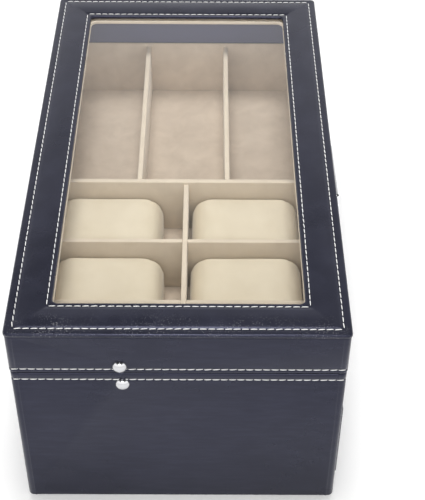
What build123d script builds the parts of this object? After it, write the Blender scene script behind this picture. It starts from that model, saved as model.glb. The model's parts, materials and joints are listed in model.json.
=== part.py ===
from build123d import *
from math import atan2, cos, degrees, dist, radians, sin
import os

# A leather-covered watch box. Six watch cushions and three glasses bays lie under a glazed
# lid, and a drawer runs below them. X runs along the box, Y across it and Z up. The origin
# is the middle of the underside. The lid is hinged on the +Y side, and the lock and the
# drawer are on the -Y side. Every size is in millimetres.

os.makedirs("parts", exist_ok=True)

# Overall sizes
box_length = 329.4
box_width = 181.0
box_height = 139.0
case_height = 108.6
seam_gap = 0.4

# Sheets and boards
leather = 0.8
lining = 1.0
wall_board = 8.0
floor_board = 10.2
shelf_board = 4.0
base_pad = 1.0
base_pad_inset = 1.2
corner_radius = 3.0

# Set-backs of the sides from the edge of the lid's top panel
case_inset = 0.7
lid_inset = 0.4

# Lid
top_panel = 2.0
core_board = 4.4
glass_thickness = 2.0
glass_overlap = 5.0
glass_fit = 0.2
frame_border = 23.5
window_corner = 4.5
panel_edge_round = 0.9

# Upper tray
tray_depth = 46.6
divider_board = 3.0
mid_divider_board = 3.5
mid_divider_x = 0.55
mid_divider_drop = 2.6
row_divider_drop = 4.1
row_divider_shift = (-2.4, -2.1)
long_divider_y = -1.5
glasses_divider_pitch = 55.6
glasses_divider_shift = 0.3
halving_fit = 0.1
lining_drop = 0.4
stay_notch_drop = 2.0

# Cushions: three rows along X and two columns across Y. Each is smaller than its cell by the
# slack, and lies a little off the middle of its cell by the shift.
cushion_row_slack = 6.5
cushion_side_slack = 14.0
cushion_height = 28.7
cushion_lift = 0.3
cushion_top_round = 14.0
cushion_bottom_round = 6.0
cushion_end_round = 3.0
cushion_row_gap = (3.6, 4.2, 0.8)
cushion_left_shift = (6.6, 4.8, 4.0)
cushion_right_shift = (2.7, 3.2, 2.0)

# Drawer
drawer_gap = 0.4
drawer_side_gap = 0.5
drawer_front_board = 8.8
drawer_proud = 1.3
drawer_front_rise = 3.2
drawer_wall = 6.0
drawer_top_gap = 4.0
drawer_wall_gap = 0.7
drawer_back_gap = 5.3
drawer_bottom_board = 3.0
drawer_bottom_lift = 1.0
glide_thickness = 1.0
glide_width = 10.0
glide_fit = 0.2
knob_radius = 8.0
knob_projection = 12.0
knob_rim = 3.6
knob_crown = 2.6
knob_flare = 3.0
knob_neck_radius = 3.4
knob_foot_radius = 5.0
knob_foot = 1.2
knob_screw_radius = 1.6
knob_screw_depth = 6.0
knob_screw_head_radius = 3.2

# Lid hinges
hinge_x = (-105.0, 105.0)
hinge_length = 38.0
hinge_leaf = 1.0
hinge_leaf_depth = 6.3
barrel_radius = 2.1
barrel_stand_off = 0.6
knuckle_gap = 0.2
pin_radius = 1.0
pin_clearance = 0.05
pin_overhang = 0.3
hinge_screw_x = 12.0
screw_radius = 1.1
screw_head_radius = 2.1
screw_length = 9.0
countersink_angle = 90

# Folding stay at the -X end, between one rivet in the case and one in the lid. Each rivet is
# placed forward of the hinge axis, and below or above the seam of the lid.
case_rivet_reach = 62.5
case_rivet_drop = 8.1
lid_rivet_reach = 61.5
lid_rivet_rise = 5.6
lid_open_angle = 95.0
arm_width = 8.0
arm_thickness = 0.8
arm_gap = 0.2
arm_wall_gap = 0.3
rivet_radius = 1.5
rivet_clearance = 0.05
rivet_cap_radius = 3.75
rivet_cap_height = 1.6
rivet_dome = 0.9
rivet_head_radius = 3.0
rivet_head = 0.6

# Lock
lock_length = 52.0
lock_proud = 6.8
lock_depth = 22.6
lock_seam = 0.2
hasp_rise = 7.2
lock_corner = 6.0
lock_edge_round = 2.0
tongue_width = 8.0
tongue_thickness = 1.4
tongue_length = 7.2
tongue_inset = 1.8
tongue_clearance = 1.1
lock_part_inset = 14.0
lock_centre_drop = 13.6
button_radius = 4.5
button_proud = 1.4
button_travel = 1.5
key_radius = 4.0
key_proud = 0.5
key_slot_width = 1.2
key_slot_length = 4.6
key_slot_depth = 3.0
lock_fit = 0.08
latch_height = 4.2
latch_fit = 0.2
latch_travel = 2.0
lock_screw_inset = 6.0
lock_screw_radius = 1.2
lock_screw_depth = 3.0

# Faces worked out from the sizes above
case_x = box_length / 2 - case_inset
case_y = box_width / 2 - case_inset
board_x = case_x - leather
board_y = case_y - leather
inner_x = board_x - wall_board
inner_y = board_y - wall_board
tray_x = inner_x - lining
tray_y = inner_y - lining
rim_board_top = case_height - leather

lid_x = box_length / 2 - lid_inset
lid_y = box_width / 2 - lid_inset
lid_board_x = lid_x - leather
lid_board_y = lid_y - leather
lid_inner_x = lid_board_x - wall_board
lid_inner_y = lid_board_y - wall_board
lid_bottom = case_height + seam_gap
lid_board_bottom = lid_bottom + leather
panel_bottom = box_height - top_panel
core_bottom = panel_bottom - core_board
window_length = box_length - 2 * frame_border
window_width = box_width - 2 * frame_border
glass_length = window_length + 2 * glass_overlap
glass_width = window_width + 2 * glass_overlap

floor_top = base_pad + floor_board
shelf_underside = case_height - tray_depth
shelf_top = shelf_underside + shelf_board
tray_floor = shelf_top + lining
lining_top = case_height - lining_drop
mid_divider_top = case_height - mid_divider_drop
row_divider_top = case_height - row_divider_drop

drawer_front_top = shelf_top + drawer_front_rise
drawer_front_bottom = floor_top + glide_thickness + glide_fit
drawer_wall_top = shelf_underside - drawer_top_gap
rail_bottom = drawer_front_top + drawer_gap

drawer_face_y = -(case_y + drawer_proud)
drawer_back_of_front_y = drawer_face_y + drawer_front_board
drawer_front_x = inner_x - drawer_side_gap
drawer_side_x = inner_x - drawer_wall_gap
drawer_inner_x = drawer_side_x - drawer_wall
drawer_end_y = inner_y - drawer_back_gap
drawer_inner_y = drawer_end_y - drawer_wall
drawer_bottom_z = drawer_front_bottom + drawer_bottom_lift
drawer_floor_z = drawer_bottom_z + drawer_bottom_board
knob_z = (drawer_front_bottom + drawer_front_top) / 2

hinge_axis_y = case_y + barrel_radius + barrel_stand_off
hinge_axis_z = case_height + seam_gap / 2
leaf_outer_y = hinge_axis_y - barrel_radius - knuckle_gap
leaf_inner_y = leaf_outer_y - hinge_leaf_depth
hinge_screw_y = (leaf_outer_y + leaf_inner_y) / 2

case_rivet_y = hinge_axis_y - case_rivet_reach
case_rivet_z = case_height - case_rivet_drop
lid_rivet_y = hinge_axis_y - lid_rivet_reach
lid_rivet_z = lid_bottom + lid_rivet_rise
lower_arm_x = -tray_x + arm_wall_gap
upper_arm_x = lower_arm_x + arm_thickness + arm_gap
arm_outer_x = upper_arm_x + arm_thickness

lock_face_y = -(case_y + lock_proud)
lock_top = case_height - lock_seam
lock_bottom = case_height - lock_depth
lock_centre_z = case_height - lock_centre_drop
button_x = -(lock_length / 2 - lock_part_inset)
key_x = lock_length / 2 - lock_part_inset
lock_screw_x = lock_length / 2 - lock_screw_inset
hasp_bottom = lid_bottom + lock_seam
hasp_top = lid_bottom + hasp_rise
tongue_y = (-lid_y - tongue_inset - tongue_thickness, -lid_y - tongue_inset)
tongue_bottom = hasp_bottom - tongue_length
slot_y = (tongue_y[0] - tongue_clearance, tongue_y[1] + tongue_clearance / 2)


def save(piece, name):
    """Label a finished piece and write it as its own file."""
    piece.part.label = name
    export_step(piece.part, f"parts/{name}.step")


def block(x, y, z, mode=Mode.ADD):
    """Fill or cut the space between two limits along each axis."""
    with Locations(((x[0] + x[1]) / 2, (y[0] + y[1]) / 2, (z[0] + z[1]) / 2)):
        Box(x[1] - x[0], y[1] - y[0], z[1] - z[0], mode=mode)


def rod_x(x, y, z, radius, mode=Mode.ADD):
    """Fill or cut a round rod along X between two limits."""
    with Locations(Location(((x[0] + x[1]) / 2, y, z), (0, 90, 0))):
        Cylinder(radius, x[1] - x[0], mode=mode)


def rod_y(x, y, z, radius, mode=Mode.ADD):
    """Fill or cut a round rod along Y between two limits."""
    with Locations(Location((x, (y[0] + y[1]) / 2, z), (90, 0, 0))):
        Cylinder(radius, y[1] - y[0], mode=mode)


# ---------------------------------------------------------------- case boards

with BuildPart() as base_felt:
    with BuildSketch():
        RectangleRounded(2 * (board_x - base_pad_inset), 2 * (board_y - base_pad_inset),
                         corner_radius)
    extrude(amount=base_pad)
save(base_felt, "base_felt")

with BuildPart() as case_floor:
    block((-inner_x, inner_x), (-board_y, inner_y), (base_pad, floor_top))
save(case_floor, "case_floor")

for side, end_name in ((-1, "case_left_end"), (1, "case_right_end")):
    with BuildPart() as case_end:
        end_faces = sorted((side * inner_x, side * board_x))
        block(end_faces, (-board_y, board_y), (base_pad, rim_board_top))
        outer_edges = case_end.edges().filter_by(Axis.Z).sort_by(Axis.X)
        fillet(outer_edges[:2] if side < 0 else outer_edges[2:], corner_radius - leather)
        if side < 0:
            rod_x(end_faces, case_rivet_y, case_rivet_z, rivet_radius, Mode.SUBTRACT)
    save(case_end, end_name)


def cut_hinge_pocket(z):
    """Cut the shallow pockets that the hinge leaves lie in."""
    for x in hinge_x:
        block((x - hinge_length / 2, x + hinge_length / 2), (leaf_inner_y, hinge_axis_y), z,
              Mode.SUBTRACT)


def cut_hinge_screw_holes(z):
    """Cut the pilot holes of the hinge screws."""
    for x in hinge_x:
        for offset in (-hinge_screw_x, hinge_screw_x):
            with Locations((x + offset, hinge_screw_y, (z[0] + z[1]) / 2)):
                Cylinder(screw_radius, z[1] - z[0], mode=Mode.SUBTRACT)


case_leaf_z = (case_height - hinge_leaf, case_height)
lid_leaf_z = (lid_bottom, lid_bottom + hinge_leaf)
case_screw_z = (case_height - screw_length, case_height)
lid_screw_z = (lid_bottom, lid_bottom + screw_length)

with BuildPart() as case_back:
    block((-inner_x, inner_x), (inner_y, board_y), (base_pad, rim_board_top))
    cut_hinge_pocket(case_leaf_z)
    cut_hinge_screw_holes(case_screw_z)
save(case_back, "case_back")

with BuildPart() as case_front_rail:
    block((-inner_x, inner_x), (-board_y, -inner_y), (rail_bottom, rim_board_top))
    for x in (-lock_screw_x, lock_screw_x):
        rod_y(x, (-board_y, -inner_y), lock_centre_z, lock_screw_radius, Mode.SUBTRACT)
save(case_front_rail, "case_front_rail")

# The outer leather goes round the four sides and folds over the rim. It is open at the drawer.
with BuildPart() as case_wrap:
    with BuildSketch(Plane.XY.offset(base_pad / 2)):
        RectangleRounded(2 * case_x, 2 * case_y, corner_radius)
        RectangleRounded(2 * board_x, 2 * board_y, corner_radius - leather, mode=Mode.SUBTRACT)
    extrude(amount=rim_board_top - base_pad / 2)
    with BuildSketch(Plane.XY.offset(rim_board_top)):
        RectangleRounded(2 * case_x, 2 * case_y, corner_radius)
        Rectangle(2 * inner_x, 2 * inner_y, mode=Mode.SUBTRACT)
    extrude(amount=leather)
    block((-inner_x, inner_x), (-case_y - leather, -inner_y), (floor_top, rail_bottom),
          Mode.SUBTRACT)
    cut_hinge_pocket(case_leaf_z)
    rod_x((-case_x, -board_x), case_rivet_y, case_rivet_z, rivet_radius, Mode.SUBTRACT)
    for x in (-lock_screw_x, lock_screw_x):
        rod_y(x, (-case_y, -board_y), lock_centre_z, lock_screw_radius, Mode.SUBTRACT)
save(case_wrap, "case_wrap")

# ---------------------------------------------------------------- upper tray

with BuildPart() as tray_shelf:
    block((-inner_x, inner_x), (-inner_y, inner_y), (shelf_underside, shelf_top))
save(tray_shelf, "tray_shelf")

with BuildPart() as tray_floor_lining:
    block((-inner_x, inner_x), (-inner_y, inner_y), (shelf_top, tray_floor))
save(tray_floor_lining, "tray_floor_lining")

with BuildPart() as tray_wall_linings:
    for side in (-1, 1):
        block(sorted((side * tray_x, side * inner_x)), (-tray_y, tray_y), (tray_floor, lining_top))
        block((-inner_x, inner_x), sorted((side * tray_y, side * inner_y)), (tray_floor, lining_top))
    rod_x((-inner_x, -tray_x), case_rivet_y, case_rivet_z, rivet_radius, Mode.SUBTRACT)
save(tray_wall_linings, "tray_wall_linings")

mid_divider_faces = (mid_divider_x - mid_divider_board / 2, mid_divider_x + mid_divider_board / 2)
halving_height = (tray_floor + row_divider_top) / 2
rows = len(row_divider_shift) + 1
cell_length = (mid_divider_faces[0] + tray_x - (rows - 1) * divider_board) / rows
row_divider_x = [mid_divider_faces[0] - (row + 1) * (cell_length + divider_board)
                 + divider_board / 2 + shift for row, shift in enumerate(row_divider_shift)]
long_divider_faces = (long_divider_y - divider_board / 2, long_divider_y + divider_board / 2)

with BuildPart() as mid_divider:
    block(mid_divider_faces, (-tray_y, tray_y), (tray_floor, mid_divider_top))
save(mid_divider, "mid_divider")

with BuildPart() as row_dividers:
    for x in row_divider_x:
        block((x - divider_board / 2, x + divider_board / 2), (-tray_y, tray_y),
              (tray_floor, row_divider_top))
    block((row_divider_x[1] - divider_board, row_divider_x[0] + divider_board),
          (long_divider_faces[0] - halving_fit, long_divider_faces[1] + halving_fit),
          (halving_height, row_divider_top), Mode.SUBTRACT)
save(row_dividers, "row_dividers")

# The long divider is slotted over the row dividers, and its end is notched for the stay.
with BuildPart() as watch_long_divider:
    block((-tray_x, mid_divider_faces[0]), long_divider_faces, (tray_floor, row_divider_top))
    for x in row_divider_x:
        block((x - divider_board / 2 - halving_fit, x + divider_board / 2 + halving_fit),
              (long_divider_y - divider_board, long_divider_y + divider_board),
              (tray_floor, halving_height), Mode.SUBTRACT)
    block((-tray_x, arm_outer_x + 2 * rivet_head),
          (long_divider_y - divider_board, long_divider_y + divider_board),
          (case_rivet_z - stay_notch_drop, row_divider_top), Mode.SUBTRACT)
save(watch_long_divider, "watch_long_divider")

with BuildPart() as glasses_dividers:
    for side in (-1, 1):
        y = glasses_divider_shift + side * glasses_divider_pitch / 2
        block((mid_divider_faces[1], tray_x), (y - divider_board / 2, y + divider_board / 2),
              (tray_floor, mid_divider_top))
save(glasses_dividers, "glasses_dividers")

# ---------------------------------------------------------------- watch cushions

row_faces = (mid_divider_faces[0], row_divider_x[0] - divider_board / 2,
             row_divider_x[1] - divider_board / 2)
cushion_bottom = tray_floor + cushion_lift
cushion_length = cell_length - cushion_row_slack
cushion_width = tray_y - long_divider_faces[1] - cushion_side_slack
left_cell_y = (long_divider_faces[1] + tray_y) / 2
right_cell_y = (long_divider_faces[0] - tray_y) / 2
cushion_number = 0
for row, row_face in enumerate(row_faces):
    for y in (left_cell_y + cushion_left_shift[row], right_cell_y + cushion_right_shift[row]):
        cushion_number += 1
        cushion_face_x = row_face - cushion_row_gap[row]
        with BuildPart() as cushion:
            with BuildSketch(Plane(origin=(cushion_face_x, 0, 0), x_dir=(0, 1, 0), z_dir=(1, 0, 0))):
                with Locations((y, cushion_bottom + cushion_height / 2)):
                    Rectangle(cushion_width, cushion_height)
                corners = vertices().sort_by(Axis.Z)
                fillet(corners[:2], cushion_bottom_round)
                fillet(corners[2:], cushion_top_round)
            extrude(amount=-cushion_length)
            fillet(cushion.faces().filter_by(Axis.X).edges(), cushion_end_round)
        save(cushion, f"cushion_{cushion_number}")

# ---------------------------------------------------------------- drawer

with BuildPart() as drawer_glides:
    for side in (-1, 1):
        glide_faces = sorted((side * drawer_side_x, side * (drawer_side_x - glide_width)))
        block(glide_faces, (-inner_y, inner_y - wall_board), (floor_top, floor_top + glide_thickness))
save(drawer_glides, "drawer_glides")

with BuildPart() as drawer_front:
    block((-drawer_front_x + leather, drawer_front_x - leather),
          (drawer_face_y + leather, drawer_back_of_front_y),
          (drawer_front_bottom + leather, drawer_front_top - leather))
    rod_y(0, (drawer_face_y, drawer_back_of_front_y), knob_z, knob_screw_radius, Mode.SUBTRACT)
save(drawer_front, "drawer_front")

with BuildPart() as drawer_front_leather:
    block((-drawer_front_x, drawer_front_x), (drawer_face_y, drawer_back_of_front_y),
          (drawer_front_bottom, drawer_front_top))
    fillet(drawer_front_leather.faces().sort_by(Axis.Y)[0].edges(), panel_edge_round)
    block((-drawer_front_x + leather, drawer_front_x - leather),
          (drawer_face_y + leather, drawer_back_of_front_y),
          (drawer_front_bottom + leather, drawer_front_top - leather), Mode.SUBTRACT)
    rod_y(0, (drawer_face_y, drawer_back_of_front_y), knob_z, knob_screw_radius, Mode.SUBTRACT)
save(drawer_front_leather, "drawer_front_leather")

with BuildPart() as drawer_sides:
    for side in (-1, 1):
        block(sorted((side * drawer_inner_x, side * drawer_side_x)),
              (drawer_back_of_front_y, drawer_end_y), (drawer_front_bottom, drawer_wall_top))
save(drawer_sides, "drawer_sides")

with BuildPart() as drawer_back:
    block((-drawer_inner_x, drawer_inner_x), (drawer_inner_y, drawer_end_y),
          (drawer_front_bottom, drawer_wall_top))
save(drawer_back, "drawer_back")

with BuildPart() as drawer_bottom:
    block((-drawer_inner_x, drawer_inner_x), (drawer_back_of_front_y, drawer_inner_y),
          (drawer_bottom_z, drawer_floor_z))
save(drawer_bottom, "drawer_bottom")

with BuildPart() as drawer_floor_lining:
    block((-drawer_inner_x, drawer_inner_x), (drawer_back_of_front_y, drawer_inner_y),
          (drawer_floor_z, drawer_floor_z + lining))
save(drawer_floor_lining, "drawer_floor_lining")

with BuildPart() as drawer_wall_linings:
    block((-drawer_inner_x, drawer_inner_x), (drawer_back_of_front_y, drawer_inner_y),
          (drawer_floor_z + lining, drawer_wall_top - lining))
    block((-drawer_inner_x + lining, drawer_inner_x - lining),
          (drawer_back_of_front_y + lining, drawer_inner_y - lining),
          (drawer_floor_z + lining, drawer_wall_top - lining), Mode.SUBTRACT)
    rod_y(0, (drawer_back_of_front_y, drawer_back_of_front_y + lining), knob_z,
          knob_screw_head_radius, Mode.SUBTRACT)
save(drawer_wall_linings, "drawer_wall_linings")

knob_end_y = drawer_face_y - knob_projection
knob_flare_y = knob_end_y + knob_rim + knob_flare
knob_screw_end_y = drawer_face_y - knob_screw_depth

with BuildPart() as drawer_knob:
    rod_y(0, (knob_end_y, knob_end_y + knob_rim), knob_z, knob_radius)
    fillet(drawer_knob.edges().sort_by(Axis.Y)[0], knob_crown)
    with Locations(Location((0, knob_flare_y - knob_flare / 2, knob_z), (90, 0, 0))):
        Cone(knob_neck_radius, knob_radius, knob_flare)
    rod_y(0, (knob_flare_y, drawer_face_y), knob_z, knob_neck_radius)
    rod_y(0, (drawer_face_y - knob_foot, drawer_face_y), knob_z, knob_foot_radius)
    rod_y(0, (knob_screw_end_y, drawer_face_y), knob_z, knob_screw_radius, Mode.SUBTRACT)
save(drawer_knob, "drawer_knob")

with BuildPart() as knob_screw:
    rod_y(0, (knob_screw_end_y, drawer_back_of_front_y), knob_z, knob_screw_radius)
    rod_y(0, (drawer_back_of_front_y, drawer_back_of_front_y + lining), knob_z,
          knob_screw_head_radius)
save(knob_screw, "knob_screw")

# ---------------------------------------------------------------- lid

for side, end_name in ((-1, "lid_left_end"), (1, "lid_right_end")):
    with BuildPart() as lid_end:
        end_faces = sorted((side * lid_inner_x, side * lid_board_x))
        block(end_faces, (-lid_board_y, lid_board_y), (lid_board_bottom, panel_bottom))
        outer_edges = lid_end.edges().filter_by(Axis.Z).sort_by(Axis.X)
        fillet(outer_edges[:2] if side < 0 else outer_edges[2:], corner_radius - leather)
        if side < 0:
            rod_x(end_faces, lid_rivet_y, lid_rivet_z, rivet_radius, Mode.SUBTRACT)
    save(lid_end, end_name)

hasp_screw_z = (hasp_bottom + hasp_top) / 2

with BuildPart() as lid_front_board:
    block((-lid_inner_x, lid_inner_x), (-lid_board_y, -lid_inner_y), (lid_board_bottom, panel_bottom))
    for x in (-lock_screw_x, lock_screw_x):
        rod_y(x, (-lid_board_y, -lid_inner_y), hasp_screw_z, lock_screw_radius, Mode.SUBTRACT)
save(lid_front_board, "lid_front_board")

with BuildPart() as lid_back_board:
    block((-lid_inner_x, lid_inner_x), (lid_inner_y, lid_board_y), (lid_board_bottom, panel_bottom))
    cut_hinge_pocket(lid_leaf_z)
    cut_hinge_screw_holes(lid_screw_z)
save(lid_back_board, "lid_back_board")

with BuildPart() as lid_side_wrap:
    with BuildSketch(Plane.XY.offset(lid_board_bottom)):
        RectangleRounded(2 * lid_x, 2 * lid_y, corner_radius)
        RectangleRounded(2 * lid_board_x, 2 * lid_board_y, corner_radius - leather,
                         mode=Mode.SUBTRACT)
    extrude(amount=panel_bottom - lid_board_bottom)
    with BuildSketch(Plane.XY.offset(lid_bottom)):
        RectangleRounded(2 * lid_x, 2 * lid_y, corner_radius)
        Rectangle(2 * lid_inner_x, 2 * lid_inner_y, mode=Mode.SUBTRACT)
    extrude(amount=leather)
    cut_hinge_pocket(lid_leaf_z)
    rod_x((-lid_x, -lid_board_x), lid_rivet_y, lid_rivet_z, rivet_radius, Mode.SUBTRACT)
    for x in (-lock_screw_x, lock_screw_x):
        rod_y(x, (-lid_y, -lid_board_y), hasp_screw_z, lock_screw_radius, Mode.SUBTRACT)
save(lid_side_wrap, "lid_side_wrap")

with BuildPart() as lid_inner_lining:
    with BuildSketch(Plane.XY.offset(lid_bottom)):
        Rectangle(2 * lid_inner_x, 2 * lid_inner_y)
        Rectangle(2 * (lid_inner_x - lining), 2 * (lid_inner_y - lining), mode=Mode.SUBTRACT)
    extrude(amount=core_bottom - lid_bottom)
    rod_x((-lid_inner_x, -lid_inner_x + lining), lid_rivet_y, lid_rivet_z, rivet_radius,
          Mode.SUBTRACT)
save(lid_inner_lining, "lid_inner_lining")

# The velvet-covered board that carries the glass in a rebate, under the top panel
with BuildPart() as lid_core_frame:
    with BuildSketch(Plane.XY.offset(core_bottom)):
        Rectangle(2 * lid_inner_x, 2 * lid_inner_y)
        RectangleRounded(window_length, window_width, window_corner, mode=Mode.SUBTRACT)
    extrude(amount=core_board)
    rebate_x = glass_length / 2 + glass_fit
    rebate_y = glass_width / 2 + glass_fit
    block((-rebate_x, rebate_x), (-rebate_y, rebate_y),
          (panel_bottom - glass_thickness, panel_bottom), Mode.SUBTRACT)
save(lid_core_frame, "lid_core_frame")

with BuildPart() as glass_pane:
    block((-glass_length / 2, glass_length / 2), (-glass_width / 2, glass_width / 2),
          (panel_bottom - glass_thickness, panel_bottom))
save(glass_pane, "glass_pane")

with BuildPart() as lid_top_board:
    with BuildSketch(Plane.XY.offset(panel_bottom)):
        RectangleRounded(box_length - 2 * leather, box_width - 2 * leather, corner_radius)
        RectangleRounded(window_length + 2 * leather, window_width + 2 * leather, window_corner,
                         mode=Mode.SUBTRACT)
    extrude(amount=top_panel - leather)
save(lid_top_board, "lid_top_board")

with BuildPart() as lid_top_leather:
    with BuildSketch(Plane.XY.offset(panel_bottom)):
        RectangleRounded(box_length, box_width, corner_radius)
        RectangleRounded(window_length, window_width, window_corner, mode=Mode.SUBTRACT)
    extrude(amount=top_panel)
    fillet(lid_top_leather.faces().sort_by(Axis.Z)[-1].edges(), panel_edge_round)
    with BuildSketch(Plane.XY.offset(panel_bottom)):
        RectangleRounded(box_length - 2 * leather, box_width - 2 * leather, corner_radius)
        RectangleRounded(window_length + 2 * leather, window_width + 2 * leather, window_corner,
                         mode=Mode.SUBTRACT)
    extrude(amount=top_panel - leather, mode=Mode.SUBTRACT)
save(lid_top_leather, "lid_top_leather")

# ---------------------------------------------------------------- hinges

knuckle = hinge_length / 3
case_knuckles = ((-hinge_length / 2, -knuckle / 2 - knuckle_gap),
                 (knuckle / 2 + knuckle_gap, hinge_length / 2))
lid_knuckles = ((-knuckle / 2, knuckle / 2),)


def add_leaf(x, z, knuckles):
    """Add one hinge leaf: its plate, tabs and knuckles, with the pin's bore cut last."""
    block((x - hinge_length / 2, x + hinge_length / 2), (leaf_inner_y, leaf_outer_y), z)
    for start, end in knuckles:
        block((x + start, x + end), (leaf_outer_y, hinge_axis_y), z)
        rod_x((x + start, x + end), hinge_axis_y, hinge_axis_z, barrel_radius)
    rod_x((x - hinge_length, x + hinge_length), hinge_axis_y, hinge_axis_z,
          pin_radius + pin_clearance, Mode.SUBTRACT)


with BuildPart() as hinge_case_leaves:
    for x in hinge_x:
        add_leaf(x, case_leaf_z, case_knuckles)
        for offset in (-hinge_screw_x, hinge_screw_x):
            with Locations((x + offset, hinge_screw_y, case_leaf_z[1])):
                CounterSinkHole(screw_radius, screw_head_radius, hinge_leaf,
                                counter_sink_angle=countersink_angle)
save(hinge_case_leaves, "hinge_case_leaves")

with BuildPart() as hinge_lid_leaves:
    for x in hinge_x:
        add_leaf(x, lid_leaf_z, lid_knuckles)
        for offset in (-hinge_screw_x, hinge_screw_x):
            with Locations(Location((x + offset, hinge_screw_y, lid_leaf_z[0]), (180, 0, 0))):
                CounterSinkHole(screw_radius, screw_head_radius, hinge_leaf,
                                counter_sink_angle=countersink_angle)
save(hinge_lid_leaves, "hinge_lid_leaves")

with BuildPart() as hinge_pins:
    for x in hinge_x:
        rod_x((x - hinge_length / 2 - pin_overhang, x + hinge_length / 2 + pin_overhang),
              hinge_axis_y, hinge_axis_z, pin_radius)
save(hinge_pins, "hinge_pins")


def add_hinge_screw(x, head_z, direction):
    """Add one countersunk screw driven from head_z, down for -1 and up for +1."""
    head_depth = screw_head_radius - screw_radius
    half_turn = 180 if direction > 0 else 0
    with Locations(Location((x, hinge_screw_y, head_z + direction * head_depth / 2),
                            (half_turn, 0, 0))):
        Cone(screw_radius, screw_head_radius, head_depth)
    with Locations((x, hinge_screw_y, head_z + direction * screw_length / 2)):
        Cylinder(screw_radius, screw_length)


for head_z, direction, screws_name in ((case_height, -1, "hinge_case_screws"),
                                       (lid_bottom, 1, "hinge_lid_screws")):
    with BuildPart() as hinge_screws:
        for x in hinge_x:
            for offset in (-hinge_screw_x, hinge_screw_x):
                add_hinge_screw(x + offset, head_z, direction)
    save(hinge_screws, screws_name)

# ---------------------------------------------------------------- stay and rivets


def lid_point(y, z, angle):
    """Where a point of the closed lid lies when the lid is open by an angle in degrees."""
    turn = radians(angle)
    along = y - hinge_axis_y
    above = z - hinge_axis_z
    return (hinge_axis_y + along * cos(turn) + above * sin(turn),
            hinge_axis_z - along * sin(turn) + above * cos(turn))


# The two equal arms lie in line when the lid is open, which sets their length. With the lid
# shut their joint lies forward of both rivets.
case_rivet_point = (case_rivet_y, case_rivet_z)
lid_rivet_point = (lid_rivet_y, lid_rivet_z)
arm_length = dist(case_rivet_point, lid_point(*lid_rivet_point, lid_open_angle)) / 2
rivet_distance = dist(case_rivet_point, lid_rivet_point)
elbow_reach = (arm_length ** 2 - (rivet_distance / 2) ** 2) ** 0.5
rivet_tilt = atan2(lid_rivet_z - case_rivet_z, lid_rivet_y - case_rivet_y)
elbow_y = (case_rivet_y + lid_rivet_y) / 2 - elbow_reach * sin(rivet_tilt)
elbow_z = (case_rivet_z + lid_rivet_z) / 2 + elbow_reach * cos(rivet_tilt)
print(f"stay: arm {arm_length:.3f} mm, elbow at y {elbow_y:.3f}, z {elbow_z:.3f}")


def add_arm(start, end, x):
    """Add one flat arm with a rivet hole at each end."""
    with BuildSketch(Plane(origin=(x, 0, 0), x_dir=(0, 1, 0), z_dir=(1, 0, 0))) as arm:
        with Locations(((start[0] + end[0]) / 2, (start[1] + end[1]) / 2)):
            slope = degrees(atan2(end[1] - start[1], end[0] - start[0]))
            SlotCenterToCenter(arm_length, arm_width, rotation=slope)
        with Locations(start, end):
            Circle(rivet_radius + rivet_clearance, mode=Mode.SUBTRACT)
    extrude(arm.sketch, amount=arm_thickness)


with BuildPart() as stay_lower_arm:
    add_arm(case_rivet_point, (elbow_y, elbow_z), lower_arm_x)
save(stay_lower_arm, "stay_lower_arm")

with BuildPart() as stay_upper_arm:
    add_arm((elbow_y, elbow_z), lid_rivet_point, upper_arm_x)
save(stay_upper_arm, "stay_upper_arm")

with BuildPart() as stay_elbow_rivet:
    rod_x((lower_arm_x, arm_outer_x), elbow_y, elbow_z, rivet_radius)
    rod_x((arm_outer_x, arm_outer_x + rivet_head), elbow_y, elbow_z, rivet_head_radius)
save(stay_elbow_rivet, "stay_elbow_rivet")

with BuildPart() as stay_end_rivet:
    rod_x((lower_arm_x, arm_outer_x), lid_rivet_y, lid_rivet_z, rivet_radius)
    rod_x((arm_outer_x, arm_outer_x + rivet_head), lid_rivet_y, lid_rivet_z, rivet_head_radius)
save(stay_end_rivet, "stay_end_rivet")


def add_rivet_cap(face_x, y, z):
    """Add the domed cap that shows outside the end wall."""
    with Locations(Location((face_x - rivet_cap_height / 2, y, z), (0, 90, 0))):
        cap = Cylinder(rivet_cap_radius, rivet_cap_height)
    fillet(cap.edges().sort_by(Axis.X)[0], rivet_dome * rivet_cap_height)


with BuildPart() as case_rivet:
    add_rivet_cap(-case_x, case_rivet_y, case_rivet_z)
    shank_end = lower_arm_x + arm_thickness + arm_gap / 2
    rod_x((-case_x, shank_end), case_rivet_y, case_rivet_z, rivet_radius)
    rod_x((shank_end, shank_end + rivet_head), case_rivet_y, case_rivet_z, rivet_head_radius)
save(case_rivet, "case_rivet")

with BuildPart() as lid_rivet:
    add_rivet_cap(-lid_x, lid_rivet_y, lid_rivet_z)
    lid_lining_face = -lid_inner_x + lining
    rod_x((-lid_x, lid_lining_face), lid_rivet_y, lid_rivet_z, rivet_radius)
    rod_x((lid_lining_face, lower_arm_x - arm_gap / 2), lid_rivet_y, lid_rivet_z,
          rivet_head_radius)
save(lid_rivet, "lid_rivet")

# ---------------------------------------------------------------- lock

latch_y = (slot_y[0] + latch_fit, slot_y[1] - latch_fit)
latch_top = tongue_bottom - latch_fit
latch_half = tongue_width / 2

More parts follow.
